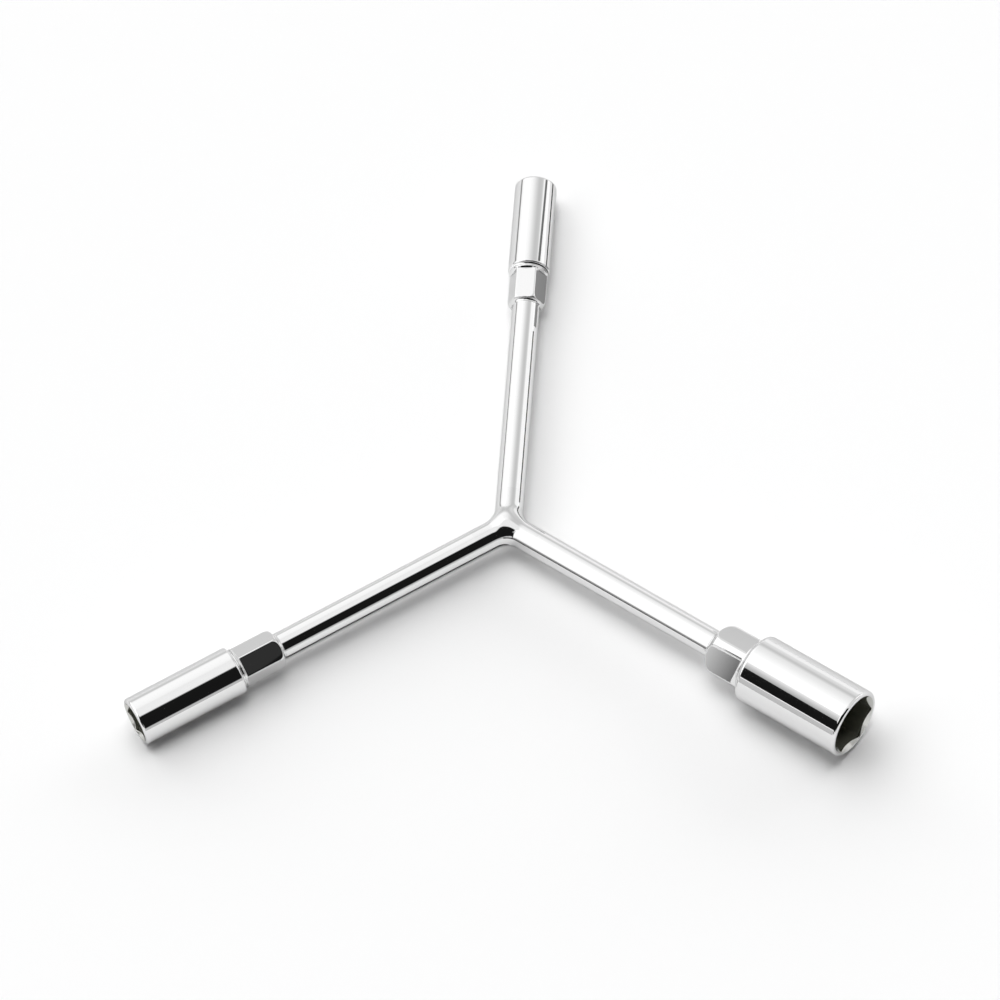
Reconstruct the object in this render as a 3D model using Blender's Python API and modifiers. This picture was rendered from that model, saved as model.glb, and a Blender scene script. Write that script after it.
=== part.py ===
"""Y wrench: three round rods welded in one flat Y, with a deep six-point socket on each end.

Every arm is modelled standing on its socket's mouth: +Z runs from the mouth to the centre of the Y,
and +X is the side that faces up when the wrench lies on a bench.
"""
import math

import bmesh
import bpy
import numpy as np
from mathutils import Matrix, Vector

# Clearance between pieces that touch, and the length by which a cutter runs past what it cuts.
FIT_GAP = 0.0003
CUT_OVERRUN = 0.002

# The round bar that the arms are made of.
ROD_RADIUS = 0.0040
ROD_SEAT_DEPTH = 0.0110
ROD_END_CHAMFER = 0.0004

# Inner end of a rod: a step, then a taper, as it is bevelled for a full weld.
BEVEL_STEP = 0.0008
BEVEL_LENGTH = 0.0055
BEVEL_TIP_RADIUS = 0.0016

# Centre weld: how far its node runs up each rod, how softly the weld metal blends the rods into a dome,
# and how deep it is ground back, which leaves a fine crease round each rod.
WELD_REACH = 0.0108
WELD_BLEND = 0.00105
WELD_GRIND = 0.0002

# Braze fillet where a rod enters its socket.
BRAZE_LENGTH = 0.0009
BRAZE_WIDTH = 0.0008
BRAZE_LIP = 0.0003

# What the three sockets share, from the mouth inwards.
RIM_ROUND = 0.0006
GROOVE_WIDTH = 0.0008
GROOVE_DEPTH = 0.0004
LAND_WIDTH = 0.0007
LAND_RISE = 0.0001
NECK_FACE_WIDTH = 0.0006
HEX_DEPTH = 0.0150
LEAD_IN_RISE = 0.0001
LEAD_IN_DEPTH = 0.0012
RELIEF_STEP = 0.0004
RELIEF_DEPTH = 0.0070

# What differs from socket to socket. An arm's reach runs from the centre of the Y to the socket's mouth.
# Rolls say which way a flat faces, from the upper side of the arm round to its left. A barrel's wall is
# taken at a corner of the hexagon, and a neck's from the rod's bore.
FAR_SOCKET = {
    "arm_angle": math.radians(90),
    "arm_reach": 0.1186,
    "hex_across_flats": 0.0081,
    "hex_roll": math.radians(2),
    "barrel_length": 0.0306,
    "barrel_wall": 0.00135,
    "shoulder_round": 0.0011,
    "neck_length": 0.0102,
    "neck_wall": 0.0012,
    "neck_flats": 6,
    "flat_depth": 0.00075,
    "neck_roll": math.radians(2),
    "neck_dome": 0.0021,
}
LEFT_SOCKET = {
    "arm_angle": math.radians(213.6),
    "arm_reach": 0.1193,
    "hex_across_flats": 0.0101,
    "hex_roll": math.radians(43),
    "barrel_length": 0.0318,
    "barrel_wall": 0.00125,
    "shoulder_round": 0.0013,
    "neck_length": 0.0119,
    "neck_wall": 0.0016,
    "neck_flats": 6,
    "flat_depth": 0.0008,
    "neck_roll": math.radians(38),
    "neck_dome": 0.0023,
}
RIGHT_SOCKET = {
    "arm_angle": math.radians(326.8),
    "arm_reach": 0.1195,
    "hex_across_flats": 0.0151,
    "hex_roll": math.radians(19),
    "barrel_length": 0.0340,
    "barrel_wall": 0.00135,
    "shoulder_round": 0.0013,
    "neck_length": 0.0113,
    "neck_wall": 0.0032,
    "neck_flats": 4,
    "flat_depth": 0.00155,
    "neck_roll": math.radians(28),
    "neck_dome": 0.0030,
}
SOCKETS = {"far": FAR_SOCKET, "left": LEFT_SOCKET, "right": RIGHT_SOCKET}

# Facets round a turned piece, along a rounded edge, and in the weld's quarter turns and lengths.
ROUND_SEGMENTS = 40
ARC_STEPS = 4
WELD_QUARTER_STEPS = 5
WELD_LENGTH_STEPS = 6
PROJECTION_STEPS = 5

# A length too small to see: vertices this close are one, and slopes are measured over it.
TINY = 0.000001

# Edges that turn more than this look sharp.
SHARP_ANGLE = math.radians(40)

# Bright chrome.
PLATE_COLOUR = (0.80, 0.81, 0.82, 1.0)


def clear_scene():
    for old in list(bpy.data.objects):
        bpy.data.objects.remove(old, do_unlink=True)


def new_collection(name):
    collection = bpy.data.collections.new(name)
    bpy.context.scene.collection.children.link(collection)
    return collection


def chrome(name, roughness):
    """Bright chrome plate over steel."""
    material = bpy.data.materials.new(name)
    material.use_nodes = True
    shader = material.node_tree.nodes["Principled BSDF"]
    shader.inputs["Base Color"].default_value = PLATE_COLOUR
    shader.inputs["Metallic"].default_value = 1.0
    shader.inputs["Roughness"].default_value = roughness
    return material


def add_empty(name, parent=None):
    empty = bpy.data.objects.new(name, None)
    empty.empty_display_size = ROD_RADIUS
    parts.objects.link(empty)
    empty.parent = parent
    return empty


def add_mesh_object(name, mesh, collection, parent):
    obj = bpy.data.objects.new(name, mesh)
    collection.objects.link(obj)
    obj.parent = parent
    return obj


def mark_as_cutter(obj):
    obj.hide_render = True
    obj.display_type = "WIRE"
    return obj


def turned(name, profile, parent, collection, closed=False):
    """Turn a profile of (radius, height) points about Z. At +X it runs down the outer side."""
    mesh = bpy.data.meshes.new(name)
    points = [(radius, 0.0, height) for radius, height in profile]
    edges = [(i, i + 1) for i in range(len(points) - 1)]
    if closed:
        edges.append((len(points) - 1, 0))
    mesh.from_pydata(points, edges, [])
    obj = add_mesh_object(name, mesh, collection, parent)
    screw = obj.modifiers.new("Turn", "SCREW")
    screw.axis = "Z"
    screw.steps = ROUND_SEGMENTS
    screw.render_steps = ROUND_SEGMENTS
    screw.use_merge_vertices = True
    screw.merge_threshold = TINY
    screw.use_smooth_shade = True
    return obj


def arc(centre_radius, centre_height, across, along, start, end):
    """Points on a quarter ellipse from start to end, in degrees, measured from the radius direction."""
    points = []
    for step in range(ARC_STEPS + 1):
        angle = math.radians(start + (end - start) * step / ARC_STEPS)
        radius = centre_radius + across * math.cos(angle)
        points.append((radius, centre_height + along * math.sin(angle)))
    return points


def prism(name, sides, across_flats, roll, low, high, parent):
    """A solid bar with a flat facing the roll angle, as a cutter. Its first corner starts at +Y."""
    corner_radius = across_flats / 2 / math.cos(math.pi / sides)
    shape = bmesh.new()
    turn = Matrix.Rotation(roll + math.pi / sides - math.pi / 2, 4, "Z")
    rise = Matrix.Translation((0.0, 0.0, (low + high) / 2))
    bmesh.ops.create_cone(
        shape, cap_ends=True, segments=sides, radius1=corner_radius, radius2=corner_radius,
        depth=high - low, matrix=rise @ turn)
    mesh = bpy.data.meshes.new(name)
    shape.to_mesh(mesh)
    shape.free()
    return mark_as_cutter(add_mesh_object(name, mesh, cutters, parent))


def cut(obj, cutter):
    boolean = obj.modifiers.new(cutter.name, "BOOLEAN")
    boolean.operation = "DIFFERENCE"
    boolean.solver = "EXACT"
    boolean.object = cutter


def hex_corner_radius(size):
    return size["hex_across_flats"] / 2 / math.cos(math.pi / 6)


def barrel_radius(size):
    return hex_corner_radius(size) + size["barrel_wall"]


def bore_radius():
    """The blind bore in a neck that its rod seats in."""
    return ROD_RADIUS + FIT_GAP


def neck_radius(size):
    return bore_radius() + size["neck_wall"]


def neck_top(size):
    """Height of the neck's end face above the mouth."""
    return size["barrel_length"] + GROOVE_WIDTH + LAND_WIDTH + size["neck_length"]


def socket_profile(size):
    """The turned shape of a socket, from the bottom of the rod's bore to the end of the relief bore."""
    top = neck_top(size)
    bore = bore_radius()
    bore_floor = top - ROD_SEAT_DEPTH - FIT_GAP
    face = bore + NECK_FACE_WIDTH
    neck = neck_radius(size)
    dome = size["neck_dome"]
    land = neck + LAND_RISE
    barrel_top = size["barrel_length"]
    land_low = barrel_top + GROOVE_WIDTH
    barrel = barrel_radius(size)
    shoulder_length = size["shoulder_round"]
    shoulder = min(shoulder_length, barrel - land)
    lead_in_radius = hex_corner_radius(size) + LEAD_IN_RISE
    relief_radius = size["hex_across_flats"] / 2 - RELIEF_STEP

    profile = [(0.0, bore_floor), (bore, bore_floor), (bore, top)]
    profile += arc(face, top - dome, neck - face, dome, 90, 0)
    profile.append((neck, land_low + LAND_WIDTH))
    profile.append((land, land_low + LAND_WIDTH))
    profile.append((land, land_low))
    profile.append((land - GROOVE_DEPTH, land_low - GROOVE_WIDTH / 3))
    profile.append((land - GROOVE_DEPTH, land_low - GROOVE_WIDTH * 2 / 3))
    profile.append((land, barrel_top))
    profile += arc(barrel - shoulder, barrel_top - shoulder_length, shoulder, shoulder_length, 90, 0)
    profile += arc(barrel - RIM_ROUND, RIM_ROUND, RIM_ROUND, RIM_ROUND, 0, -90)
    profile.append((lead_in_radius, 0.0))
    profile.append((relief_radius, LEAD_IN_DEPTH))
    profile.append((relief_radius, HEX_DEPTH + RELIEF_DEPTH))
    profile.append((0.0, HEX_DEPTH + RELIEF_DEPTH))
    return without_repeats(profile)


def without_repeats(profile):
    """Drop a point that lies on the one before it."""
    kept = [profile[0]]
    for point in profile[1:]:
        if math.dist(point, kept[-1]) > TINY:
            kept.append(point)
    return kept


def make_socket(name, size, parent):
    node = turned(f"{name}_socket", socket_profile(size), parent, parts)

    hexagon = prism(f"{name}_hexagon", 6, size["hex_across_flats"], size["hex_roll"], -CUT_OVERRUN,
                    HEX_DEPTH, parent)
    cut(node, hexagon)

    flats_low = neck_top(size) - size["neck_length"]
    sleeve_width = 2 * (neck_radius(size) + CUT_OVERRUN)
    sleeve = prism(f"{name}_sleeve", ROUND_SEGMENTS, sleeve_width, 0.0, flats_low,
                   neck_top(size) + CUT_OVERRUN, parent)
    across_flats = 2 * (neck_radius(size) - size["flat_depth"])
    bar = prism(f"{name}_neck_bar", size["neck_flats"], across_flats, size["neck_roll"],
                flats_low - CUT_OVERRUN, neck_top(size) + 2 * CUT_OVERRUN, parent)
    cut(sleeve, bar)
    cut(node, sleeve)
    node.data.materials.append(chrome(f"{name}_socket_chrome", 0.06))
    return node


def make_rod(name, size, parent):
    """A round bar from the bottom of the neck's bore to its bevelled end inside the weld."""
    low = neck_top(size) - ROD_SEAT_DEPTH
    shoulder = size["arm_reach"] - WELD_REACH - FIT_GAP
    profile = [
        (0.0, shoulder + BEVEL_LENGTH),
        (BEVEL_TIP_RADIUS, shoulder + BEVEL_LENGTH),
        (ROD_RADIUS - BEVEL_STEP, shoulder),
        (ROD_RADIUS, shoulder),
        (ROD_RADIUS, low + ROD_END_CHAMFER),
        (ROD_RADIUS - ROD_END_CHAMFER, low),
        (0.0, low),
    ]
    node = turned(f"{name}_rod", profile, parent, parts)
    node.data.materials.append(chrome(f"{name}_rod_chrome", 0.05))
    return node


def make_braze(name, size, parent):
    """A ring with a hollow, fillet-shaped outside, between the rod and the neck's end face."""
    low = neck_top(size) + FIT_GAP
    inner = bore_radius()
    profile = [(inner + BRAZE_LIP, low + BRAZE_LENGTH)]
    for step in range(1, ARC_STEPS + 1):
        share = step / ARC_STEPS
        radius = inner + BRAZE_LIP + (BRAZE_WIDTH - BRAZE_LIP) * (1 - math.sqrt(1 - share * share))
        profile.append((radius, low + BRAZE_LENGTH * (1 - share)))
    profile += [(inner, low), (inner, low + BRAZE_LENGTH)]
    node = turned(f"{name}_braze", profile, parent, parts, closed=True)
    node.data.materials.append(chrome(f"{name}_braze_chrome", 0.12))
    return node


def arm_direction(size):
    return np.array([math.cos(size["arm_angle"]), math.sin(size["arm_angle"]), 0.0])


def blend_height(point, directions):
    """How far a point lies outside three round bars and the dome of weld metal between them."""
    total = 0.0
    nearest = math.inf
    for direction in directions:
        along = max(float(point @ direction), 0.0)
        distance = float(np.linalg.norm(point - along * direction))
        nearest = min(nearest, distance)
        total += math.exp(-distance / WELD_BLEND)
    weld = WELD_GRIND - WELD_BLEND * math.log(total)
    return min(weld, nearest) - ROD_RADIUS


def onto_blend(point, directions):
    """Move a point along the slope of the blend until it lies on the skin."""
    for _ in range(PROJECTION_STEPS):
        height = blend_height(point, directions)
        slope = np.array([
            (blend_height(point + step, directions) - height) / TINY
            for step in np.eye(3) * TINY])
        point = point - slope * height / float(slope @ slope)
    return point


def weld_arm_rings(direction, neighbours, directions):
    """Rings of points round one arm, from the seams that it shares with its neighbours to its round end."""
    up = np.array([0.0, 0.0, 1.0])
    side = np.cross(up, direction)
    seams = [(other + direction) / np.linalg.norm(other + direction) for other in neighbours]
    turn_steps = 4 * WELD_QUARTER_STEPS
    rings = []
    for row in range(WELD_LENGTH_STEPS + 1):
        share = row / WELD_LENGTH_STEPS
        ring = []
        for step in range(turn_steps):
            angle = 2 * math.pi * step / turn_steps
            across = math.cos(angle)
            rise = math.sin(angle) * up
            seam = seams[0] if across > 0 else seams[1]
            start = (abs(across) * seam + rise) * ROD_RADIUS
            end = WELD_REACH * direction + (across * side + rise) * ROD_RADIUS
            if row < WELD_LENGTH_STEPS:
                end = onto_blend(start * (1 - share) + end * share, directions)
            ring.append(end)
        rings.append(ring)
    return rings


def make_weld(parent):
    """A smooth three-way skin, lofted arm by arm and joined at the seams."""
    directions = [arm_direction(size) for size in SOCKETS.values()]
    shape = bmesh.new()
    for index, direction in enumerate(directions):
        neighbours = (directions[(index + 1) % 3], directions[(index - 1) % 3])
        rings = weld_arm_rings(direction, neighbours, directions)
        grid = [[shape.verts.new(point) for point in ring] for ring in rings]
        for inner, outer in zip(grid, grid[1:]):
            for step in range(len(inner)):
                after = (step + 1) % len(inner)
                shape.faces.new((inner[step], outer[step], outer[after], inner[after]))
        shape.faces.new(grid[-1])
    bmesh.ops.remove_doubles(shape, verts=shape.verts, dist=TINY)
    bmesh.ops.recalc_face_normals(shape, faces=shape.faces)
    mesh = bpy.data.meshes.new("centre_weld")
    shape.to_mesh(mesh)
    shape.free()
    mesh.shade_smooth()
    mesh.set_sharp_from_angle(angle=SHARP_ANGLE)
    node = add_mesh_object("centre_weld", mesh, parts, parent)
    node.data.materials.append(chrome("centre_weld_chrome", 0.08))
    return node


def make_recess(name, size, parent):
    """The hollow in the weld that a rod's bevelled end fills, as a cutter on that rod's arm."""
    low = size["arm_reach"] - WELD_REACH
    rise = BEVEL_LENGTH
    profile = [
        (0.0, low + rise),
        (BEVEL_TIP_RADIUS + FIT_GAP, low + rise),
        (ROD_RADIUS - BEVEL_STEP + FIT_GAP, low),
        (ROD_RADIUS - BEVEL_STEP + FIT_GAP, low - CUT_OVERRUN),
        (0.0, low - CUT_OVERRUN),
    ]
    return mark_as_cutter(turned(f"{name}_recess", profile, parent, cutters))


def resting_turn():
    """The turn that lays the wrench on its three barrels, which have unlike radii.

    An arm that dips towards its mouth touches there, and one that rises touches at its barrel's other end.
    """
    up = Vector((0.0, 0.0, 1.0))
    outer_end = {}
    inner_end = {}
    for name, size in SOCKETS.items():
        outer_end[name] = size["arm_reach"] - RIM_ROUND
        inner_end[name] = size["arm_reach"] - size["barrel_length"] + size["shoulder_round"]
    touch = dict(outer_end)
    for _ in range(2):
        feet = []
        for name, size in SOCKETS.items():
            feet.append(Vector(arm_direction(size)) * touch[name] - up * barrel_radius(size))
        normal = (feet[1] - feet[0]).cross(feet[2] - feet[0]).normalized()
        for name, size in SOCKETS.items():
            rises = Vector(arm_direction(size)).dot(normal) > 0
            touch[name] = inner_end[name] if rises else outer_end[name]
    return normal.rotation_difference(up)


def set_down(wrench):
    """Turn the wrench to rest on its barrels, then put the middle of its footprint at the origin."""
    wrench.rotation_mode = "QUATERNION"
    wrench.rotation_quaternion = resting_turn()
    bpy.context.view_layer.update()
    graph = bpy.context.evaluated_depsgraph_get()
    corners = []
    for obj in parts.objects:
        if obj.type != "MESH":
            continue
        solid = obj.evaluated_get(graph)
        corners += [solid.matrix_world @ vertex.co for vertex in solid.data.vertices]
    cloud = np.array(corners)
    low = cloud.min(axis=0)
    high = cloud.max(axis=0)
    wrench.location = (-(low[0] + high[0]) / 2, -(low[1] + high[1]) / 2, -low[2])


clear_scene()
parts = new_collection("y_wrench")
cutters = new_collection("cutters")
wrench = add_empty("wrench")
weld = make_weld(wrench)
for socket_name, socket_size in SOCKETS.items():
    arm = add_empty(f"{socket_name}_arm", wrench)
    arm.location = arm_direction(socket_size) * socket_size["arm_reach"]
    arm.rotation_euler = (0.0, -math.pi / 2, socket_size["arm_angle"])
    make_rod(socket_name, socket_size, arm)
    make_braze(socket_name, socket_size, arm)
    make_socket(socket_name, socket_size, arm)
    cut(weld, make_recess(socket_name, socket_size, arm))
set_down(wrench)
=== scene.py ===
"""Looks of a three-way socket wrench in bright chrome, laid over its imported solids.

Every arm is modelled as it stands on its socket's mouth: +Z runs from the mouth to the centre of the Y,
and +X is the side that faces up when the wrench lies on a bench.
"""
import math

import bpy
import numpy as np
from mathutils import Matrix, Vector


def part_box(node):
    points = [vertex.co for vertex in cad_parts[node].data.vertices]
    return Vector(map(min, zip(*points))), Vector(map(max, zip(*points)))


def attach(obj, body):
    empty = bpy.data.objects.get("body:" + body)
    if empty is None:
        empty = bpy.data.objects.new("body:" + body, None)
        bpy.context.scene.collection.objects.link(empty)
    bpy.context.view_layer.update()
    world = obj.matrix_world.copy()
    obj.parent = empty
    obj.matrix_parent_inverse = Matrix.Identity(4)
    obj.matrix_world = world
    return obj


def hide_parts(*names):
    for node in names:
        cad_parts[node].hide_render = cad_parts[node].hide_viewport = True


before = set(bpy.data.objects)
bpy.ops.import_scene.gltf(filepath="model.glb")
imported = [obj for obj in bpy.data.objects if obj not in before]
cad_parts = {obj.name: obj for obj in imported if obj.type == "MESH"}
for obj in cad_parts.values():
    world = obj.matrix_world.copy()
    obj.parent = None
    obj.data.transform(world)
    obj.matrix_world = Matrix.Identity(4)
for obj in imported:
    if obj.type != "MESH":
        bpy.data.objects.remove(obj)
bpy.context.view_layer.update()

MM = 0.001

# The round bar that the arms are made of.
ROD_RADIUS = 0.0040
ROD_SEAT_DEPTH = 0.0110
ROD_END_CHAMFER = 0.0004
BEVEL_STEP = 0.0008
BEVEL_LENGTH = 0.0055
BEVEL_TIP_RADIUS = 0.0016

# Centre weld: how far its node runs up each rod, how softly the weld metal blends the rods into a dome,
# and how deep it is ground back, which leaves a fine crease round each rod.
WELD_REACH = 0.0108
WELD_BLEND = 0.00105
WELD_GRIND = 0.0002
WELD_LAP = 0.00001
WELD_CREASE_BLEND = 0.00005

# Braze fillet where a rod enters its socket.
BRAZE_LENGTH = 0.0009
BRAZE_WIDTH = 0.0008

# What the three sockets share, from the mouth inwards. RIM_ROUND, like each socket's shoulder_round, is
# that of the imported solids, which decides how the wrench lies. MOUTH_ROUND and shoulder_edge are drawn.
RIM_ROUND = 0.0006
MOUTH_ROUND = 0.0009
GROOVE_WIDTH = 0.0008
GROOVE_DEPTH = 0.0004
GROOVE_SLOPE_SHARE = 0.25
LAND_WIDTH = 0.0007
LAND_RISE = 0.0001
LAND_TAPER = 0.0001
FLAT_OVERRUN = 0.0003
FLAT_RUN_OUT = 0.0002
NECK_FACE_WIDTH = 0.0006
HEX_DEPTH = 0.0150
LEAD_IN_RISE = 0.0001
LEAD_IN_DEPTH = 0.0012
RELIEF_STEP = 0.0004
RELIEF_DEPTH = 0.0070
BORE_RADIUS = 0.0043
EDGE_ROUND = 0.00012

# What differs from socket to socket. An arm's reach runs from the centre of the Y to the mouth. Rolls say
# which way a flat faces, from the upper side of the arm round to its left. A barrel's wall is taken at a
# corner of the hexagon, and a neck's from the rod's bore.
FAR_SOCKET = {
    "arm_angle": math.radians(90),
    "arm_reach": 0.1186,
    "hex_across_flats": 0.0081,
    "hex_roll": math.radians(2),
    "barrel_length": 0.0306,
    "barrel_wall": 0.00135,
    "shoulder_round": 0.0011,
    "shoulder_edge": 0.0006,
    "neck_length": 0.0102,
    "neck_wall": 0.0012,
    "neck_flats": 6,
    "flat_depth": 0.00075,
    "neck_roll": math.radians(2),
    "neck_dome": 0.0021,
}
LEFT_SOCKET = {
    "arm_angle": math.radians(213.6),
    "arm_reach": 0.1193,
    "hex_across_flats": 0.0101,
    "hex_roll": math.radians(43),
    "barrel_length": 0.0318,
    "barrel_wall": 0.00125,
    "shoulder_round": 0.0013,
    "shoulder_edge": 0.0006,
    "neck_length": 0.0119,
    "neck_wall": 0.0016,
    "neck_flats": 6,
    "flat_depth": 0.0008,
    "neck_roll": math.radians(38),
    "neck_dome": 0.0023,
}
RIGHT_SOCKET = {
    "arm_angle": math.radians(326.8),
    "arm_reach": 0.1195,
    "hex_across_flats": 0.0151,
    "hex_roll": math.radians(19),
    "barrel_length": 0.0340,
    "barrel_wall": 0.00135,
    "shoulder_round": 0.0013,
    "shoulder_edge": 0.0013,
    "neck_length": 0.0113,
    "neck_wall": 0.0032,
    "neck_flats": 4,
    "flat_depth": 0.00155,
    "neck_roll": math.radians(28),
    "neck_dome": 0.0030,
}
SOCKETS = {"far": FAR_SOCKET, "left": LEFT_SOCKET, "right": RIGHT_SOCKET}

# Points round a turned piece. A flat's edge is rounded more softly the lower its sharpness.
ROUND_STEPS = 240
BAR_STEPS = 120
NECK_SHARPNESS = 110
HEX_SHARPNESS = 45

# Rings along a socket, from the neck's face to the end of the relief bore, then a rod's and a fillet's.
DOME_STEPS = 24
NECK_RINGS = 12
RUN_OUT_SHARES = (0.06, 0.12, 0.3, 0.5, 0.7, 0.88, 0.94)
LAND_SHARES = (0, 0.3)
EDGE_STEPS = 4
SHOULDER_STEPS = 14
BARREL_RINGS = 24
MOUTH_STEPS = 12
LEAD_IN_RINGS = 16
PLATED_LEAD_IN_RINGS = 12
HEX_RINGS = 6
BORE_RINGS = 2
ROD_RINGS = 30
FILLET_STEPS = 10

# The weld's skin: points round and along an arm, rounds of moving them onto the blend, the step that its
# slope is taken over, the digits that its cosines are rounded to, and the angle of a sharp edge.
WELD_QUARTER_STEPS = 30
WELD_LENGTH_STEPS = 70
PROJECTION_STEPS = 8
TINY = 0.000001
SEAM_DIGITS = 12
SHARP_FROM = math.radians(50)

# Two rounds settle which end of each barrel touches the bench.
REST_ROUNDS = 2

# The photograph's camera, in the axes of the Y. Its pan and tilt are shares of its distance.
CAMERA_AZIMUTH = math.radians(11.80)
CAMERA_ELEVATION = math.radians(54.77)
CAMERA_ROLL = math.radians(-9.57)
CAMERA_DISTANCE = 2.2386
CAMERA_LENS = 288.0
CAMERA_SENSOR = 36.0
CAMERA_NEAR = 0.05
CAMERA_FAR = 20.0
CAMERA_PAN_SHARE = 0.001004
CAMERA_TILT_SHARE = -0.003349

# Chrome's own colour at a glancing angle, a little darker than its face, draws the thin grey outline.
EDGE_TINT = "#D2D2D2"

# Buffing leaves a haze that comes and goes over this width, between these levels of its noise.
HAZE_MM = 6
HAZE_LOW = 0.35
HAZE_HIGH = 0.70

# Each plated finish: its colour, how rough it is where it is clear, what the haze adds to that, and how
# wide and how high its ripple is.
DRAWN_BAR = {"colour": "#E5E5E5", "roughness": 0.035, "haze": 0.02, "ripple_mm": 14, "height_mm": 0.006}
TURNED_STEEL = {"colour": "#E5E5E5", "roughness": 0.03, "haze": 0.02, "ripple_mm": 16, "height_mm": 0.006}
GROUND_WELD = {"colour": "#E2E2E2", "roughness": 0.05, "haze": 0.03, "ripple_mm": 3, "height_mm": 0.012}
LEAD_IN = {"colour": "#CDCDC9", "roughness": 0.10, "haze": 0.05, "ripple_mm": 3, "height_mm": 0.004}

# The bore's steel runs between two brownish greys, in patches of this width.
BORE_DARK = "#77776C"
BORE_LIGHT = "#98988C"
BORE_PATCH_MM = 1.5
BORE_METAL_SHARE = 0.6
BORE_ROUGHNESS = 0.30

# The floor is a wide disc just under the wrench.
FLOOR_COLOUR = "#F6F6F6"
FLOOR_RADIUS = 3.0
FLOOR_SIDES = 128
FLOOR_DROP = 0.00002

# Cards, in metres, in the axes of the Y. Each card glows and only the chrome's reflections see it, so its
# bands are painted reflections of light and shade. A card stands across a heading, in degrees from +Y round
# to +X, at a distance from the centre. Its sides are measured to the left as seen from the wrench. Its grey
# runs from the first value to the second along the ramp's axis, and a lean shifts its upper edge sideways.
CARDS = {
    # The right barrel's painted reflection bands, from its lower side up: grey, a thin white edge, black,
    # and soft grey.
    "low_scrim": {"heading": -120, "away": 0.150, "sides": (0.086, 0.142), "heights": (-0.007, 0.046),
                  "greys": (0.60, 0.66)},
    "white_edge": {"heading": -120, "away": 0.150, "sides": (0.086, 0.142), "heights": (0.046, 0.054),
                   "greys": (1.20, 1.20)},
    "black_flag": {"heading": -120, "away": 0.150, "sides": (0.0855, 0.300), "heights": (0.054, 0.185),
                   "greys": (0.010, 0.010), "lean": -0.027},
    "high_scrim": {"heading": -120, "away": 0.150, "sides": (0.059, 0.110), "heights": (0.185, 0.345),
                   "greys": (0.50, 1.10), "lean": -0.052},
    # A painted reflection on the right neck's lower flat, which darkens towards the barrel.
    "neck_flag": {"heading": -125, "away": -0.001, "sides": (0.0665, 0.0790), "heights": (-0.0077, 0.0030),
                  "greys": (0.80, 0.18), "ramp": "X"},
    # A painted reflection of shade: a thin dark line along each rod.
    "rod_line": {"heading": 90, "away": 0.014, "sides": (0.014, 0.0735), "heights": (0.0013, 0.0040),
                 "greys": (0.12, 0.12)},
    "right_rod_line": {"heading": 213.2, "away": 0.0055, "sides": (0.0028, 0.0707),
                       "heights": (0.00174, 0.00233), "greys": (0.06, 0.06)},
    "left_rod_line": {"heading": 146.4, "away": 0.0052, "sides": (-0.0730, -0.0020),
                      "heights": (-0.0070, -0.0018), "greys": (0.05, 0.05)},
    # Painted reflections on the right neck's upper flat and the far neck's right flat, and a painted dark
    # line along the far barrel.
    "top_flat_flag": {"heading": 10.8, "away": 0.0, "sides": (-0.0792, -0.0656), "heights": (0.0060, 0.0125),
                      "greys": (0.72, 0.78)},
    "far_neck_flag": {"heading": 90, "away": 0.0115, "sides": (0.0735, 0.0925), "heights": (-0.0026, 0.0028),
                      "greys": (0.29, 0.34)},
    "far_line": {"heading": 90, "away": 0.014, "sides": (0.093, 0.134), "heights": (-0.0019, 0.0002),
                 "greys": (0.05, 0.05)},
    # A trace of light on the left neck's black flat.
    "left_neck_glow": {"heading": 133.8, "away": 0.0035, "sides": (-0.084, -0.0722),
                       "heights": (0.0190, 0.0290), "greys": (0.035, 0.035)},
    # A painted grey reflection line down the far barrel, right of its middle.
    "grey_flag": {"heading": 107, "away": 0.0, "sides": (0.118, 0.172), "heights": (0.0190, 0.0320),
                  "greys": (0.16, 0.22)},
}

# The room that the chrome mirrors, in degrees. Its back wall fades from light on the left to grey on the
# right, and each panel lies over those before it. Headings run from the back wall round to the right, or
# from the front wall round to the left, and a slanted panel's heights rise to the right.
BACK_WALL_HEADINGS = (-30.0, 38.0)
BACK_WALL_GREYS = (1.25, 0.72)
WALL_SLANT = 0.52
ROOM_PANELS = (
    {"grey": 0.85, "headings": (44.0, 178.0), "heights": (-90.0, 95.0), "soft": 6.0},
    {"grey": 1.20, "headings": (44.0, 70.0), "heights": (7.0, 34.0), "soft": 4.0},
    {"grey": 1.05, "headings": (-180.0, 180.0), "heights": (70.0, 95.0), "soft": 4.0},
    {"grey": 0.98, "headings": (-180.0, 180.0), "heights": (-95.0, 12.0), "soft": 6.0},
    {"grey": 1.30, "headings": (44.0, 70.0), "heights": (-4.0, 13.0), "soft": 4.0},
    {"grey": 1.17, "headings": (-4.0, 30.0), "heights": (-12.0, 14.0), "soft": 5.0},
    {"grey": 0.70, "headings": (-34.0, 46.0), "heights": (20.5, 34.0), "soft": 7.5, "height": "slant"},
    {"grey": 1.35, "headings": (-134.0, -30.0), "heights": (24.0, 70.0), "soft": 4.0},
    {"grey": 0.26, "headings": (-160.0, -42.0), "heights": (4.0, 11.0), "soft": 2.5},
    {"grey": 0.60, "headings": (66.0, 178.0), "heights": (-2.0, 11.0), "soft": 2.5},
    {"grey": 0.010, "headings": (-72.0, 40.0), "heights": (11.0, 70.0), "soft": 2.5,
     "heading": "front"},
)

# The softboxes that light the floor, from behind and above, and what their strength is multiplied by.
FILL_SHARE = 1.135
FLOOR_LIGHTS = (
    {"grey": 2.1, "headings": (-60.0, 60.0), "heights": (0.0, 30.0), "soft": 6.0},
    {"grey": 1.8, "headings": (-120.0, 0.0), "heights": (30.0, 60.0), "soft": 6.0},
    {"grey": 2.2, "headings": (-90.0, 90.0), "heights": (60.0, 76.0), "soft": 6.0},
    {"grey": 5.0, "headings": (-181.0, 181.0), "heights": (76.0, 96.0), "soft": 3.0},
)


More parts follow.
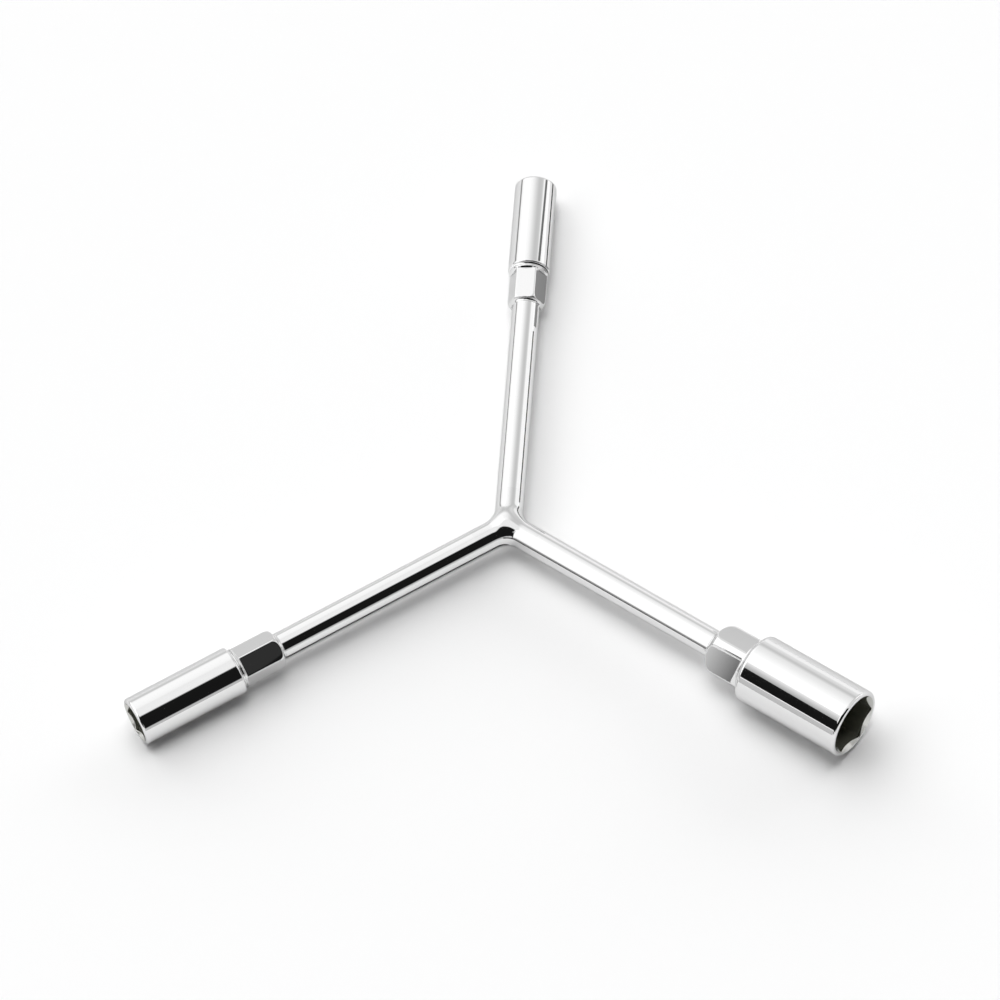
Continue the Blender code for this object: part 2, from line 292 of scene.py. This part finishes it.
def hex_colour(text):
    """A colour written as sRGB hex, turned linear."""
    parts = [int(text[i:i + 2], 16) / 255 for i in (1, 3, 5)]
    linear = [p / 12.92 if p <= 0.04045 else ((p + 0.055) / 1.055) ** 2.4 for p in parts]
    return (*linear, 1.0)


def add_node(tree, kind, settings, inputs):
    """Add a node with its settings. An input takes a plain value or another node's output."""
    made = tree.nodes.new(kind)
    for name, value in settings.items():
        setattr(made, name, value)
    for name, value in inputs.items():
        if isinstance(value, bpy.types.NodeSocket):
            tree.links.new(value, made.inputs[name])
        else:
            made.inputs[name].default_value = value
    return made


def new_material(name):
    """A material with an empty node tree."""
    material = bpy.data.materials.new(name)
    material.use_nodes = True
    material.node_tree.nodes.clear()
    return material


def chrome(name, finish):
    """Bright chrome plate: a mirror whose bands bend a little where the steel was buffed."""
    material = new_material(name)
    tree = material.node_tree
    place = add_node(tree, "ShaderNodeTexCoord", {}, {}).outputs["Object"]
    ripple = add_node(tree, "ShaderNodeTexNoise", {}, {
        "Vector": place, "Scale": 1 / (finish["ripple_mm"] * MM), "Detail": 1.0, "Roughness": 0.4})
    bump = add_node(tree, "ShaderNodeBump", {}, {
        "Strength": 1.0, "Distance": finish["height_mm"] * MM, "Height": ripple.outputs["Fac"]})
    haze = add_node(tree, "ShaderNodeTexNoise", {}, {
        "Vector": place, "Scale": 1 / (HAZE_MM * MM), "Detail": 4.0, "Roughness": 0.6})
    gloss = add_node(tree, "ShaderNodeMapRange", {}, {
        "Value": haze.outputs["Fac"], "From Min": HAZE_LOW, "From Max": HAZE_HIGH,
        "To Min": finish["roughness"], "To Max": finish["roughness"] + finish["haze"]})
    shader = add_node(tree, "ShaderNodeBsdfPrincipled", {}, {
        "Base Color": hex_colour(finish["colour"]), "Metallic": 1.0,
        "Specular Tint": hex_colour(EDGE_TINT), "Roughness": gloss.outputs["Result"],
        "Normal": bump.outputs["Normal"]})
    add_node(tree, "ShaderNodeOutputMaterial", {}, {"Surface": shader.outputs["BSDF"]})
    return material


def bore_steel(name):
    """Steel inside a broached bore, dull and brownish dark."""
    material = new_material(name)
    tree = material.node_tree
    place = add_node(tree, "ShaderNodeTexCoord", {}, {}).outputs["Object"]
    stain = add_node(tree, "ShaderNodeTexNoise", {}, {
        "Vector": place, "Scale": 1 / (BORE_PATCH_MM * MM), "Detail": 5.0, "Roughness": 0.6})
    tint = add_node(tree, "ShaderNodeMix", {"data_type": "RGBA"}, {"Factor": stain.outputs["Fac"]})
    tint.inputs["A"].default_value = hex_colour(BORE_DARK)
    tint.inputs["B"].default_value = hex_colour(BORE_LIGHT)
    shader = add_node(tree, "ShaderNodeBsdfPrincipled", {}, {
        "Metallic": BORE_METAL_SHARE, "Roughness": BORE_ROUGHNESS,
        "Base Color": tint.outputs["Result"]})
    add_node(tree, "ShaderNodeOutputMaterial", {}, {"Surface": shader.outputs["BSDF"]})
    return material


def hex_corner_radius(size):
    """From the arm's axis to a corner of the hexagon."""
    return size["hex_across_flats"] / 2 / math.cos(math.pi / 6)


def barrel_radius(size):
    """The barrel's outside, over the hexagon's corners."""
    return hex_corner_radius(size) + size["barrel_wall"]


def neck_radius(size):
    """The neck's round part, between its flats."""
    return BORE_RADIUS + size["neck_wall"]


def neck_top(size):
    """How far the neck's end face stands from the mouth."""
    return size["barrel_length"] + GROOVE_WIDTH + LAND_WIDTH + size["neck_length"]


def arm_direction(size):
    """From the centre of the Y out along an arm, in its plane."""
    return np.array([math.cos(size["arm_angle"]), math.sin(size["arm_angle"]), 0.0])


def arm_matrix(size):
    """From an arm's own axes to the plane of the Y."""
    out = Vector(arm_direction(size))
    turn = Matrix.Rotation(size["arm_angle"], 4, "Z") @ Matrix.Rotation(-math.pi / 2, 4, "Y")
    return Matrix.Translation(out * size["arm_reach"]) @ turn


def resting_turn():
    """The turn that lays the wrench on its three barrels, which have unlike radii."""
    up = Vector((0.0, 0.0, 1.0))
    outer_end = {}
    inner_end = {}
    for name, size in SOCKETS.items():
        outer_end[name] = size["arm_reach"] - RIM_ROUND
        inner_end[name] = size["arm_reach"] - size["barrel_length"] + size["shoulder_round"]
    touch = dict(outer_end)
    for _ in range(REST_ROUNDS):
        feet = []
        for name, size in SOCKETS.items():
            feet.append(Vector(arm_direction(size)) * touch[name] - up * barrel_radius(size))
        normal = (feet[1] - feet[0]).cross(feet[2] - feet[0]).normalized()
        for name, size in SOCKETS.items():
            rises = Vector(arm_direction(size)).dot(normal) > 0
            touch[name] = inner_end[name] if rises else outer_end[name]
    return normal.rotation_difference(up).to_matrix().to_4x4()


def moved(points, matrix):
    """Rows of points, carried by a matrix."""
    turn = np.array(matrix)
    return points @ turn[:3, :3].T + turn[:3, 3]


def lofted(name, rings, matrix, closed_ring=False):
    """Quads through rings of points. Its ends close on their middles, or its last ring meets its first."""
    rings = [np.asarray(ring) for ring in rings]
    count = len(rings[0])
    rows = len(rings)
    points = np.concatenate(rings)
    index = np.arange(rows * count).reshape(rows, count)
    if closed_ring:
        index = np.vstack([index, index[:1]])
    here, there = index[:-1], index[1:]
    quads = np.stack([here, there, np.roll(there, -1, axis=1), np.roll(here, -1, axis=1)], axis=-1)
    faces = quads.reshape(-1, 4).tolist()
    if not closed_ring:
        middles = np.array([rings[0].mean(axis=0), rings[-1].mean(axis=0)])
        first, last = len(points), len(points) + 1
        points = np.concatenate([points, middles])
        for step in range(count):
            after = (step + 1) % count
            faces.append((index[0][after], first, index[0][step]))
            faces.append((index[-1][step], last, index[-1][after]))
    mesh = bpy.data.meshes.new(name)
    mesh.from_pydata(moved(points, matrix).tolist(), [], faces)
    mesh.shade_smooth()
    obj = bpy.data.objects.new(name, mesh)
    bpy.context.scene.collection.objects.link(obj)
    return obj


def arc(centre_radius, centre_height, across, along, start, end, steps):
    """Points on a quarter ellipse, in degrees from the radius direction."""
    points = []
    for step in range(steps + 1):
        angle = math.radians(start + (end - start) * step / steps)
        radius = centre_radius + across * math.cos(angle)
        points.append((radius, centre_height + along * math.sin(angle)))
    return points


def stretch(radius, start, end, steps, margin):
    """A straight run along the axis, with a ring close to each end so the gloss stays true there."""
    way = 1 if end > start else -1
    inner = np.linspace(start + way * margin, end - way * margin, steps)
    return [(radius, height) for height in (start, *inner, end)]


def round_ring(angles, radius, height):
    """A ring round the axis, from one radius or from a radius for each angle."""
    radii = np.broadcast_to(radius, angles.shape)
    return np.stack([radii * np.cos(angles), radii * np.sin(angles), np.full(angles.shape, height)], -1)


def flats_pull(angles, count, apothem, roll, sharpness):
    """The flats' share of a softly cornered outline, to be added to that of the round body."""
    total = np.zeros(angles.shape)
    for flat in range(count):
        facing = np.maximum(np.cos(angles - roll - 2 * math.pi * flat / count), 0.0)
        total += (facing / apothem) ** sharpness
    return total


def neck_outline(size, angles, radius):
    """The neck's section where its round body has this radius: flats cut into a circle."""
    apothem = neck_radius(size) - size["flat_depth"]
    scaled = flats_pull(angles, size["neck_flats"], apothem / radius, size["neck_roll"], NECK_SHARPNESS)
    return radius * (1 + scaled) ** (-1 / NECK_SHARPNESS)


def hexagon_outline(size, angles):
    """The broached hexagon's section, with soft corners."""
    apothem = size["hex_across_flats"] / 2
    scaled = flats_pull(angles, 6, 1.0, size["hex_roll"], HEX_SHARPNESS)
    return apothem * scaled ** (-1 / HEX_SHARPNESS)


def socket_rings(size):
    """Rings from the floor of the rod's bore, over the outside, to the end of the relief bore."""
    angles = size["hex_roll"] + 2 * math.pi * np.arange(ROUND_STEPS) / ROUND_STEPS
    top = neck_top(size)
    face = BORE_RADIUS + NECK_FACE_WIDTH
    neck = neck_radius(size)
    dome = size["neck_dome"]
    land = neck + LAND_RISE
    barrel_top = size["barrel_length"]
    land_low = barrel_top + GROOVE_WIDTH
    flats_low = land_low + LAND_WIDTH - FLAT_OVERRUN
    barrel = barrel_radius(size)
    shoulder_length = size["shoulder_edge"]
    shoulder = min(shoulder_length, barrel - land)
    edge = EDGE_ROUND
    cone_radius = hex_corner_radius(size) + LEAD_IN_RISE
    relief = size["hex_across_flats"] / 2 - RELIEF_STEP
    cone_slope = (cone_radius - relief) / LEAD_IN_DEPTH

    rings = []
    for radius, height in stretch(BORE_RADIUS, top - ROD_SEAT_DEPTH, top, BORE_RINGS, edge):
        rings.append(round_ring(angles, radius, height))
    neck_points = arc(face, top - dome, neck - face, dome, 90, 0, DOME_STEPS)
    neck_points += stretch(neck, top - dome, flats_low + FLAT_RUN_OUT, NECK_RINGS, edge)[1:]
    for radius, height in neck_points:
        rings.append(round_ring(angles, neck_outline(size, angles, radius), height))
    taper_top = land - LAND_TAPER
    for share in RUN_OUT_SHARES:
        radii = neck_outline(size, angles, neck) * (1 - share) + taper_top * share
        rings.append(round_ring(angles, radii, flats_low + FLAT_RUN_OUT * (1 - share)))
    outside = [(taper_top, flats_low - share * edge) for share in LAND_SHARES]
    outside.append((land - edge / 4, land_low + edge))
    outside += arc(land - edge / 2, land_low + edge / 2, edge / 2, edge / 2, 0, -90, EDGE_STEPS)
    for share in (GROOVE_SLOPE_SHARE, 1 - GROOVE_SLOPE_SHARE):
        outside.append((land - GROOVE_DEPTH, land_low - GROOVE_WIDTH * share))
    outside.append((land, barrel_top))
    shoulder_low = barrel_top - shoulder_length
    outside += arc(barrel - shoulder, shoulder_low, shoulder, shoulder_length, 90, 0, SHOULDER_STEPS)
    outside += stretch(barrel, shoulder_low, MOUTH_ROUND, BARREL_RINGS, edge)[1:-1]
    outside += arc(barrel - MOUTH_ROUND, MOUTH_ROUND, MOUTH_ROUND, MOUTH_ROUND, 0, -90, MOUTH_STEPS)
    outside.append((cone_radius + edge, 0.0))
    for radius, height in outside:
        rings.append(round_ring(angles, radius, height))
    mouth_rings = len(rings)
    hexagon = hexagon_outline(size, angles)
    for height in np.linspace(edge / 2, LEAD_IN_DEPTH, LEAD_IN_RINGS):
        cone = cone_radius - cone_slope * (height - edge / 2)
        rings.append(round_ring(angles, np.maximum(hexagon, cone), height))
    for height in np.linspace(LEAD_IN_DEPTH, HEX_DEPTH, HEX_RINGS)[1:]:
        rings.append(round_ring(angles, hexagon, height))
    for radius, height in stretch(relief, HEX_DEPTH, HEX_DEPTH + RELIEF_DEPTH, BORE_RINGS, edge):
        rings.append(round_ring(angles, radius, height))
    return rings, mouth_rings


def make_socket(name, size, matrix, materials):
    """A socket in three finishes: turned outside, dull bore, and the plated part of the lead-in."""
    rings, mouth_rings = socket_rings(size)
    obj = lofted(f"{name}_socket_turned", rings, matrix)
    for material in materials:
        obj.data.materials.append(material)
    turned, bore, lead_in = range(len(materials))
    mouth = mouth_rings * ROUND_STEPS
    bore_from = mouth + PLATED_LEAD_IN_RINGS * ROUND_STEPS
    ends = (len(rings) - 1) * ROUND_STEPS
    finishes = np.full(len(obj.data.polygons), turned, dtype=np.int32)
    finishes[mouth:bore_from] = lead_in
    finishes[bore_from:ends] = bore
    finishes[ends + 1::2] = bore
    obj.data.polygons.foreach_set("material_index", finishes)
    return obj


def make_rod(name, size, matrix):
    """A round bar from the bottom of the neck's bore to its bevelled end inside the weld."""
    angles = 2 * math.pi * np.arange(BAR_STEPS) / BAR_STEPS
    low = neck_top(size) - ROD_SEAT_DEPTH
    shoulder = size["arm_reach"] - WELD_REACH + WELD_BLEND
    points = [(ROD_RADIUS - ROD_END_CHAMFER, low)]
    points += stretch(ROD_RADIUS, low + ROD_END_CHAMFER, shoulder, ROD_RINGS, EDGE_ROUND)
    points += [(ROD_RADIUS - BEVEL_STEP, shoulder), (BEVEL_TIP_RADIUS, shoulder + BEVEL_LENGTH)]
    rings = [round_ring(angles, radius, height) for radius, height in points]
    return lofted(f"{name}_rod_bar", rings, matrix)


def make_braze(name, size, matrix):
    """A ring with a hollow outside, between the rod and the neck's end face."""
    angles = 2 * math.pi * np.arange(BAR_STEPS) / BAR_STEPS
    top = neck_top(size)
    low = top - EDGE_ROUND
    inner = ROD_RADIUS - EDGE_ROUND
    points = [(inner, low), (ROD_RADIUS + BRAZE_WIDTH, low)]
    points += arc(ROD_RADIUS + BRAZE_WIDTH, top + BRAZE_LENGTH, BRAZE_WIDTH, BRAZE_LENGTH,
                  270, 180, FILLET_STEPS)
    points.append((inner, top + BRAZE_LENGTH))
    rings = [round_ring(angles, radius, height) for radius, height in points]
    return lofted(f"{name}_braze_fillet", rings, matrix, closed_ring=True)


def blend_height(points, directions):
    """How far points lie outside three round bars and the dome of weld metal between them."""
    distances = []
    for direction in directions:
        along = np.maximum(points @ direction, 0.0)
        distances.append(np.linalg.norm(points - along[:, None] * direction, axis=1))
    nearest = np.min(distances, axis=0)
    total = sum(np.exp((nearest - distance) / WELD_BLEND) for distance in distances)
    weld = nearest + WELD_GRIND - WELD_BLEND * np.log(total)
    crease = np.exp((nearest - weld) / WELD_CREASE_BLEND)
    return nearest - WELD_CREASE_BLEND * np.log(1 + crease) - ROD_RADIUS - WELD_LAP


def onto_blend(points, directions):
    """Move points along the slope of the blend until they lie on the skin."""
    for _ in range(PROJECTION_STEPS):
        height = blend_height(points, directions)
        slope = np.stack([
            (blend_height(points + step, directions) - blend_height(points - step, directions))
            / (2 * TINY) for step in np.eye(3) * TINY], axis=-1)
        steep = np.sum(slope * slope, axis=1)
        points = points - slope * (height / steep)[:, None]
    return points


def weld_arm_rings(direction, neighbours, directions):
    """Rings round one arm, from the seams that it shares with its neighbours to its round end."""
    up = np.array([0.0, 0.0, 1.0])
    side = np.cross(up, direction)
    seams = [(other + direction) / np.linalg.norm(other + direction) for other in neighbours]
    angles = 2 * math.pi * np.arange(4 * WELD_QUARTER_STEPS) / (4 * WELD_QUARTER_STEPS)
    across = np.round(np.cos(angles), SEAM_DIGITS)
    rise = np.sin(angles)[:, None] * up
    seam = np.where(across[:, None] > 0, seams[0], seams[1])
    start = (np.abs(across)[:, None] * seam + rise) * ROD_RADIUS
    end = WELD_REACH * direction + (across[:, None] * side + rise) * (ROD_RADIUS + WELD_LAP)
    rings = []
    for row in range(WELD_LENGTH_STEPS):
        share = row / WELD_LENGTH_STEPS
        rings.append(onto_blend(start * (1 - share) + end * share, directions))
    rings.append(end)
    return rings


def make_weld(matrix):
    """A smooth three-way skin, lofted arm by arm and joined at the seams."""
    directions = [arm_direction(size) for size in SOCKETS.values()]
    count = 4 * WELD_QUARTER_STEPS
    points = []
    faces = []
    for arm, direction in enumerate(directions):
        neighbours = (directions[(arm + 1) % 3], directions[(arm - 1) % 3])
        rings = weld_arm_rings(direction, neighbours, directions)
        base = len(points)
        for ring in rings:
            points.extend(ring.tolist())
        for row in range(len(rings) - 1):
            for step in range(count):
                after = (step + 1) % count
                low = base + row * count
                faces.append((low + step, low + count + step, low + count + after, low + after))
        faces.append([base + (len(rings) - 1) * count + step for step in range(count)])
    mesh = bpy.data.meshes.new("centre_weld_skin")
    mesh.from_pydata(moved(np.array(points), matrix).tolist(), [], faces)
    obj = bpy.data.objects.new("centre_weld_skin", mesh)
    bpy.context.scene.collection.objects.link(obj)
    weld = obj.modifiers.new("Join the seams", "WELD")
    weld.merge_threshold = TINY
    graph = bpy.context.evaluated_depsgraph_get()
    obj.data = bpy.data.meshes.new_from_object(obj.evaluated_get(graph))
    obj.modifiers.clear()
    obj.data.shade_smooth()
    obj.data.set_sharp_from_angle(angle=SHARP_FROM)
    return obj


def centre_of_y(turn):
    """Where the centre of the Y lies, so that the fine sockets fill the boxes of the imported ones."""
    offsets = []
    for name, size in SOCKETS.items():
        rings, _ = socket_rings(size)
        own = moved(np.concatenate(rings), turn @ arm_matrix(size))
        low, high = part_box(f"{name}_socket")
        offsets.append((np.array(low) + np.array(high)) / 2 - (own.min(axis=0) + own.max(axis=0)) / 2)
    return Vector(np.mean(offsets, axis=0))


def dress():
    """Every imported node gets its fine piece, in the finish that its own making leaves."""
    turn = resting_turn()
    centre = centre_of_y(turn)
    place = Matrix.Translation(centre) @ turn
    bar = chrome("bright_chrome_on_drawn_bar", DRAWN_BAR)
    turned = chrome("bright_chrome_on_turned_steel", TURNED_STEEL)
    ground = chrome("bright_chrome_on_ground_weld", GROUND_WELD)
    bore = bore_steel("dull_steel_in_broached_bore")
    lead_in = chrome("thin_chrome_on_lead_in", LEAD_IN)
    weld = make_weld(place)
    weld.data.materials.append(ground)
    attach(weld, "root")
    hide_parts("centre_weld")
    for name, size in SOCKETS.items():
        matrix = place @ arm_matrix(size)
        rod = make_rod(name, size, matrix)
        rod.data.materials.append(bar)
        socket = make_socket(name, size, matrix, (turned, bore, lead_in))
        braze = make_braze(name, size, matrix)
        braze.data.materials.append(ground)
        for piece, node, slot in ((rod, f"{name}_rod", "rod_chrome"),
                                  (socket, f"{name}_socket", "socket_chrome"),
                                  (braze, f"{name}_braze", "weld_chrome")):
            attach(piece, "root")
            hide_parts(node)
    return place


def make_floor():
    """A sweep of white paper, quite matte, so it takes shadows and mirrors nothing."""
    material = new_material("matte_white_paper")
    tree = material.node_tree
    shader = add_node(tree, "ShaderNodeBsdfPrincipled", {}, {
        "Base Color": hex_colour(FLOOR_COLOUR), "Roughness": 1.0, "Specular IOR Level": 0.0})
    add_node(tree, "ShaderNodeOutputMaterial", {}, {"Surface": shader.outputs["BSDF"]})
    bpy.ops.mesh.primitive_circle_add(vertices=FLOOR_SIDES, radius=FLOOR_RADIUS, fill_type="NGON",
                                      location=(0.0, 0.0, -FLOOR_DROP))
    floor = bpy.context.object
    floor.name = "studio_floor"
    floor.data.materials.append(material)


def make_card(name, matrix, heading, away, sides, heights, greys, lean=0.0, ramp="Z"):
    """A glowing card that only the chrome sees, and only from the wrench's side. It paints a reflected band
    there.
    """
    heading = math.radians(heading)
    out = np.array([math.sin(heading), math.cos(heading), 0.0])
    along = np.array([-math.cos(heading), math.sin(heading), 0.0])
    up = np.array([0.0, 0.0, 1.0])
    low, high = heights
    corners = []
    for side, height in ((sides[0], low), (sides[0] + lean, high), (sides[1] + lean, high), (sides[1], low)):
        corners.append(out * away + along * side + up * height)
    mesh = bpy.data.meshes.new(name)
    mesh.from_pydata(moved(np.array(corners), matrix).tolist(), [], [(0, 1, 2, 3)])
    card = bpy.data.objects.new(name, mesh)
    bpy.context.scene.collection.objects.link(card)
    material = new_material(f"{name}_felt")
    tree = material.node_tree
    place = add_node(tree, "ShaderNodeTexCoord", {}, {}).outputs["Generated"]
    share = add_node(tree, "ShaderNodeSeparateXYZ", {}, {"Vector": place}).outputs[ramp]
    grey = add_node(tree, "ShaderNodeMapRange", {}, {
        "Value": share, "To Min": greys[0], "To Max": greys[1]}).outputs["Result"]
    # The card's glow, as bright as its grey, is a painted reflection in the chrome.
    shade = add_node(tree, "ShaderNodeEmission", {}, {"Strength": grey}).outputs["Emission"]
    clear = add_node(tree, "ShaderNodeBsdfTransparent", {}, {}).outputs["BSDF"]
    side_seen = add_node(tree, "ShaderNodeNewGeometry", {}, {}).outputs["Backfacing"]
    painted_reflection = add_node(tree, "ShaderNodeMixShader", {}, {0: side_seen, 1: shade, 2: clear})
    add_node(tree, "ShaderNodeOutputMaterial", {}, {"Surface": painted_reflection.outputs["Shader"]})
    card.data.materials.append(material)
    card.visible_camera = False
    card.visible_diffuse = False
    card.visible_shadow = False
    card.visible_transmission = False


def studio_world():
    """White to the camera, soft light from above and behind on the floor, a grey room to the chrome."""
    world = bpy.data.worlds.new("studio_room")
    bpy.context.scene.world = world
    world.use_nodes = True
    tree = world.node_tree
    tree.nodes.clear()
    look = add_node(tree, "ShaderNodeTexCoord", {}, {}).outputs["Generated"]
    axes = add_node(tree, "ShaderNodeSeparateXYZ", {}, {"Vector": look}).outputs

    def sums(operation, first, second=0.0, third=0.0):
        """One sum, whose terms are plain numbers or other nodes' outputs."""
        return add_node(tree, "ShaderNodeMath", {"operation": operation},
                        {0: first, 1: second, 2: third}).outputs["Value"]

    def fade(value, low, high, at_low, at_high):
        """A soft change from one result to another, while the value goes from low to high."""
        return add_node(tree, "ShaderNodeMapRange", {"interpolation_type": "SMOOTHSTEP"}, {
            "Value": value, "From Min": low, "From Max": high,
            "To Min": at_low, "To Max": at_high}).outputs["Result"]

    def panel(under, grey, headings, heights, soft, heading="back", height="rise"):
        """A panel of one grey over what lies under it, with soft edges, in degrees."""
        ways = ((looks[heading], headings), (looks[height], heights))
        mask = 1.0
        for look_way, (first, last) in ways:
            mask = sums("MULTIPLY", mask, fade(look_way, first - soft, first + soft, 0.0, 1.0))
            mask = sums("MULTIPLY", mask, fade(look_way, last - soft, last + soft, 1.0, 0.0))
        return add_node(tree, "ShaderNodeMix", {"data_type": "FLOAT"}, {
            "Factor": mask, "A": under, "B": grey}).outputs["Result"]

    degrees = math.degrees(1)
    back = sums("MULTIPLY", sums("ARCTAN2", axes["X"], axes["Y"]), degrees)
    front = sums("MULTIPLY", sums("ARCTAN2", sums("MULTIPLY", axes["X"], -1.0),
                                  sums("MULTIPLY", axes["Y"], -1.0)), degrees)
    rise = sums("MULTIPLY", sums("ARCSINE", axes["Z"]), degrees)
    slant = sums("SUBTRACT", rise, sums("MULTIPLY", back, WALL_SLANT))
    looks = {"back": back, "front": front, "rise": rise, "slant": slant}

    shade = fade(back, *BACK_WALL_HEADINGS, *BACK_WALL_GREYS)
    for row in ROOM_PANELS:
        shade = panel(shade, **row)
    fill = 0.0
    for row in FLOOR_LIGHTS:
        fill = panel(fill, **row)

    paths = add_node(tree, "ShaderNodeLightPath", {}, {}).outputs
    mirrored = sums("MAXIMUM", paths["Is Glossy Ray"], paths["Is Transmission Ray"])
    lit = add_node(tree, "ShaderNodeMix", {"data_type": "FLOAT"}, {
        "Factor": mirrored, "A": sums("MULTIPLY", fill, FILL_SHARE), "B": shade}).outputs["Result"]
    seen = add_node(tree, "ShaderNodeMix", {"data_type": "FLOAT"}, {
        "Factor": paths["Is Camera Ray"], "A": lit, "B": 1.0}).outputs["Result"]
    backdrop = add_node(tree, "ShaderNodeBackground", {}, {
        "Color": hex_colour("#FFFFFF"), "Strength": seen})
    add_node(tree, "ShaderNodeOutputWorld", {}, {"Surface": backdrop.outputs["Background"]})


def make_camera(place):
    """The photograph's camera: a long lens, turned round the centre of the Y."""
    lens = bpy.data.cameras.new("photo_camera")
    lens.lens = CAMERA_LENS
    lens.sensor_width = CAMERA_SENSOR
    lens.clip_start = CAMERA_NEAR
    lens.clip_end = CAMERA_FAR
    obj = bpy.data.objects.new("photo_camera", lens)
    bpy.context.scene.collection.objects.link(obj)
    flat = math.cos(CAMERA_ELEVATION)
    away = Vector((math.sin(CAMERA_AZIMUTH) * flat, -math.cos(CAMERA_AZIMUTH) * flat,
                   math.sin(CAMERA_ELEVATION)))
    level = (-away).cross(Vector((0.0, 0.0, 1.0))).normalized()
    upright = level.cross(-away)
    right = math.cos(CAMERA_ROLL) * level + math.sin(CAMERA_ROLL) * upright
    up = math.cos(CAMERA_ROLL) * upright - math.sin(CAMERA_ROLL) * level
    where = (away - right * CAMERA_PAN_SHARE - up * CAMERA_TILT_SHARE) * CAMERA_DISTANCE
    turn = Matrix((right, up, away)).transposed().to_4x4()
    obj.matrix_world = place @ Matrix.Translation(where) @ turn
    bpy.context.scene.camera = obj


place = dress()
make_floor()
for card_name, card in CARDS.items():
    make_card(card_name, place, **card)
studio_world()
make_camera(place)
bpy.context.scene.view_settings.view_transform = "Standard"
